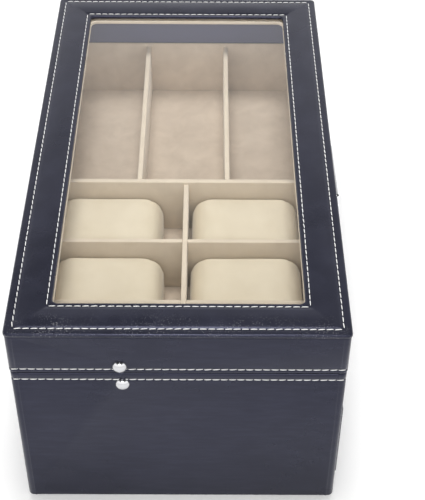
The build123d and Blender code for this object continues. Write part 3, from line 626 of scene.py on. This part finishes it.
def blow_up(mesh, limit):
    """Swell a foam mesh as pressurised cloth, with no point moved further than the limit."""
    block = bpy.data.objects.new("foam_block", mesh)
    bpy.context.scene.collection.objects.link(block)
    remesh = block.modifiers.new("even_faces", "REMESH")
    remesh.mode = "VOXEL"
    remesh.voxel_size = foam_voxel
    bpy.context.view_layer.update()
    evaluated = block.evaluated_get(bpy.context.evaluated_depsgraph_get())
    even = bpy.data.meshes.new_from_object(evaluated)
    block.modifiers.clear()
    block.data = even
    start = [vert.co.copy() for vert in even.vertices]
    cloth = block.modifiers.new("sleeve", "CLOTH")
    cloth.settings.use_pressure = True
    cloth.settings.uniform_pressure_force = foam_pressure
    cloth.settings.effector_weights.gravity = 0
    cloth.point_cache.frame_start = 1
    cloth.point_cache.frame_end = foam_frames
    for frame_number in range(1, foam_frames + 1):
        bpy.context.scene.frame_set(frame_number)
    evaluated = block.evaluated_get(bpy.context.evaluated_depsgraph_get())
    blown = bpy.data.meshes.new_from_object(evaluated)
    for vert, first in zip(blown.vertices, start):
        moved = vert.co - first
        if moved.length > limit:
            vert.co = first + moved.normalized() * limit
    bpy.data.objects.remove(block)
    bpy.context.scene.frame_set(1)
    return blown


cushion_low, cushion_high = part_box("cushion_1")
cushion_size = cushion_high - cushion_low
foam_size = cushion_size + Vector((2, 2, 2)) * foam_growth
shape = foam_block(foam_size)
foam_mesh = bpy.data.meshes.new("foam")
shape.to_mesh(foam_mesh)
shape.free()
foam_mesh = blow_up(foam_mesh, foam_swell)

for number in range(1, 7):
    low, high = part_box(f"cushion_{number}")
    middle = Vector(((low.x + high.x) / 2, (low.y + high.y) / 2, low.z - foam_growth))
    shape = bmesh.new()
    shape.from_mesh(foam_mesh)
    turn = pi if number % 2 else 0.0
    bmesh.ops.rotate(shape, verts=shape.verts, cent=(0, 0, 0), matrix=Matrix.Rotation(turn, 3, "Z"))
    bmesh.ops.translate(shape, verts=shape.verts, vec=middle)
    for vert in shape.verts:
        crown = max(0.0, (vert.co.z - low.z) / cushion_size.z)
        fold = noise.noise(vert.co / wrinkle_length + Vector((0, 0, number)))
        vert.co.z = max(low.z, vert.co.z + wrinkle_height * fold * crown)
    cushion = finish_piece(shape, f"watch_cushion_{number}", cushion_velvet, f"cushion_{number}",
                           "cushion_velvet", f"cushion_{number}", crease=80)
    softened = cushion.modifiers.new("soft_surface", "SUBSURF")
    softened.levels = softened.render_levels = 1

# ---------------------------------------------------------------- glass
# A plain 2 mm pane lies in the rebate of the velvet frame. It lets light straight through and
# mirrors the tent more as it is seen at a lower angle.

pane_tint = (0.98, 0.975, 0.965, 1)
pane_roughness = 0.02
pane_mirroring = 1.8

glass = bpy.data.materials.new("clear_glass")
glass.use_nodes = True
tree = glass.node_tree
tree.nodes.remove(tree.nodes["Principled BSDF"])
clear = add_nodes(tree, "ShaderNodeBsdfTransparent", {"Color": pane_tint})
mirror = add_nodes(tree, "ShaderNodeBsdfAnisotropic", {"Roughness": pane_roughness})
angle = add_nodes(tree, "ShaderNodeFresnel", {"IOR": pane_mirroring})
back = add_nodes(tree, "ShaderNodeNewGeometry", {}).outputs["Backfacing"]
front = add_nodes(tree, "ShaderNodeMath", {0: 1.0, 1: back}, operation="SUBTRACT")
share = add_nodes(tree, "ShaderNodeMath", {0: angle.outputs["Fac"], 1: front.outputs["Value"]},
                  operation="MULTIPLY")
pane = add_nodes(tree, "ShaderNodeMixShader",
                 {0: share.outputs["Value"], 1: clear.outputs["BSDF"], 2: mirror.outputs["BSDF"]})
tree.links.new(pane.outputs["Shader"], tree.nodes["Material Output"].inputs["Surface"])

# ---------------------------------------------------------------- strap rivets
# Two domed rivets of bright nickel go through the left end, one in the case and one in the lid,
# and hold the ends of the stay. Each is turned as one solid: dome, shank and inner head.

nickel_color = (0.57, 0.57, 0.59)
rivet_cap_height = 2.7 * mm
rivet_cap_radius = 4.0 * mm
rivet_cap_seat = 0.2 * mm
rivet_shank_radius = 1.5 * mm
rivet_head_radius = 3.0 * mm
rivet_head_height = 0.6 * mm
cap_steps = 12
turning_steps = 40


def metal_material(name, color, roughness, brush_scale):
    """Bare metal with a faint brushed or polished finish and fingerprints."""
    material, shader = start_material(name, color, roughness, Metallic=1.0)
    tree = material.node_tree
    where = add_nodes(tree, "ShaderNodeTexCoord", {}).outputs["Object"]
    stretch = add_nodes(tree, "ShaderNodeMapping", {"Vector": where, "Scale": (1, 14, 14)})
    brushed = add_nodes(tree, "ShaderNodeTexNoise",
                        {"Vector": stretch.outputs["Vector"], "Scale": brush_scale, "Detail": 3.0})
    smudge = add_nodes(tree, "ShaderNodeTexNoise", {"Vector": where, "Scale": 90.0})
    both = add_nodes(tree, "ShaderNodeMath", {0: brushed.outputs["Fac"], 1: smudge.outputs["Fac"]},
                     operation="MULTIPLY")
    gloss = add_nodes(tree, "ShaderNodeMapRange",
                      {"Value": both.outputs["Value"], "From Min": 0.1, "From Max": 0.45,
                       "To Min": roughness * 0.7, "To Max": roughness * 1.5})
    tree.links.new(gloss.outputs["Result"], shader.inputs["Roughness"])
    bump = add_nodes(tree, "ShaderNodeBump", {"Height": brushed.outputs["Fac"], "Strength": 0.15,
                                              "Distance": 0.00002})
    tree.links.new(bump.outputs["Normal"], shader.inputs["Normal"])
    return material


rivet_nickel = metal_material("rivet_nickel", nickel_color, 0.07, 60.0)


def spin_profile(points, centre, steps):
    """Spin a line of (place along X, radius) points round an axis along X into a closed solid."""
    shape = bmesh.new()
    line = [shape.verts.new((along, centre.y, centre.z + radius)) for along, radius in points]
    edges = [shape.edges.new(pair) for pair in zip(line, line[1:])]
    bmesh.ops.spin(shape, geom=line + edges, cent=centre, axis=(1, 0, 0), angle=2 * pi,
                   steps=steps, use_merge=True)
    bmesh.ops.remove_doubles(shape, verts=shape.verts, dist=merge_distance)
    bmesh.ops.recalc_face_normals(shape, faces=shape.faces)
    return shape


for node, name, body, skin in (("case_rivet", "case_strap_rivet", "case", case_low.x),
                               ("lid_rivet", "lid_strap_rivet", "lid", lid_low.x)):
    low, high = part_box(node)
    centre = (low + high) / 2
    points = []
    for step in range(cap_steps + 1):
        lean = pi / 2 * step / cap_steps
        points.append((skin - rivet_cap_height * cos(lean), rivet_cap_radius * sin(lean)))
    points += [(skin + rivet_cap_seat, rivet_cap_radius),
               (skin + rivet_cap_seat, rivet_shank_radius),
               (high.x - rivet_head_height, rivet_shank_radius),
               (high.x - rivet_head_height, rivet_head_radius),
               (high.x - 0.2 * mm, rivet_head_radius), (high.x, rivet_head_radius - 0.3 * mm),
               (high.x, 0)]
    shape = spin_profile(points, centre, turning_steps)
    finish_piece(shape, name, rivet_nickel, body, "chrome", node)

# ---------------------------------------------------------------- drawer front
# The drawer's front board has its own piece of the same leatherette, drawn tight over a thin
# layer of foam and turned in at the back.

front_padding = 0.5 * mm
front_skin = 1.0 * mm
front_round = 0.8 * mm

front_low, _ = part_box("drawer_front_leather")
shape = merged_copy("drawer_front_leather")
round_edges(shape, front_round, 3)
for vert in shape.verts:
    if vert.co.y < front_low.y + front_skin:
        vert.co.y -= front_padding
finish_piece(shape, "drawer_front_skin", leather, "drawer", "leatherette",
             "drawer_front_leather")

# ---------------------------------------------------------------- lid lining and base felt
# Dark satin lines the inside of the lid's walls, and black felt is glued under the case.
# Both are thin cloth with barely rounded edges.

satin_color = (0.080, 0.088, 0.190)
satin_dark = (0.070, 0.078, 0.165)
felt_color = (0.035, 0.035, 0.04)
felt_dark = (0.012, 0.012, 0.015)
thin_cloth_round = 0.25 * mm


def fibre_material(name, color, dark, scale, roughness, nap):
    """Pressed or matted fibres: fibreboard, or felt."""
    material, shader = start_material(name, color, roughness, Specular_IOR_Level=0.2)
    tree = material.node_tree
    where = add_nodes(tree, "ShaderNodeTexCoord", {}).outputs["Object"]
    fibres = add_nodes(tree, "ShaderNodeTexNoise",
                       {"Vector": where, "Scale": scale, "Detail": 2.0, "Roughness": 0.5})
    tone = add_nodes(tree, "ShaderNodeMix", {"Factor": fibres.outputs["Fac"],
                                             "A": (*dark, 1), "B": (*color, 1)},
                     data_type="RGBA")
    tree.links.new(tone.outputs["Result"], shader.inputs["Base Color"])
    bump = add_nodes(tree, "ShaderNodeBump", {"Height": fibres.outputs["Fac"], "Strength": 0.4,
                                              "Distance": nap})
    tree.links.new(bump.outputs["Normal"], shader.inputs["Normal"])
    return material


lid_lining = fibre_material("lid_lining_satin", satin_color, satin_dark, 420.0, 0.6, 0.00001)
felt = fibre_material("black_felt", felt_color, felt_dark, 1400.0, 1.0, 0.0002)

for node, name, cloth, body, slot in (
        ("lid_inner_lining", "lid_wall_satin", lid_lining, "lid", "lid_lining"),
        ("base_felt", "base_felt_pad", felt, "case", "felt")):
    shape = merged_copy(node)
    round_edges(shape, thin_cloth_round, 2)
    finish_piece(shape, name, cloth, body, slot, node, crease=50)

# ---------------------------------------------------------------- fittings and boards
# The lock and the knob are chromed brass, the hinges and the stay bright steel and the screws
# zinc, all with eased edges. The boards are raw fibreboard. Each takes the finish of its slot.

chrome_color = (0.80, 0.81, 0.83)
steel_color = (0.60, 0.60, 0.61)
zinc_color = (0.52, 0.52, 0.50)
board_color = (0.44, 0.31, 0.19)
board_dark = (0.26, 0.17, 0.095)
eased_width = 0.12 * mm
eased_angle = radians(40)

chrome = metal_material("polished_chrome", chrome_color, 0.09, 60.0)
steel = metal_material("bright_steel", steel_color, 0.24, 140.0)
zinc = metal_material("zinc_plate", zinc_color, 0.34, 220.0)
fibreboard = fibre_material("fibreboard", board_color, board_dark, 900.0, 0.85, 0.0001)
finishes = {"mdf": fibreboard, "leatherette": leather, "lid_lining": lid_lining, "velvet": velvet,
            "cushion_velvet": cushion_velvet, "felt": felt, "glass": glass, "chrome": chrome,
            "steel": steel, "screw_steel": zinc}

for part in frame["record"]["subparts"]:
    node = frame["nodes"][part["node"]]
    node.data.materials.clear()
    node.data.materials.append(finishes[part["material_slot"]])
    if part["material_slot"] in ("chrome", "steel", "screw_steel"):
        joined = node.modifiers.new("joined_faces", "WELD")
        joined.merge_threshold = merge_distance
        eased = node.modifiers.new("eased_edges", "BEVEL")
        eased.width = eased_width
        eased.segments = 2
        eased.limit_method = "ANGLE"
        eased.angle_limit = eased_angle
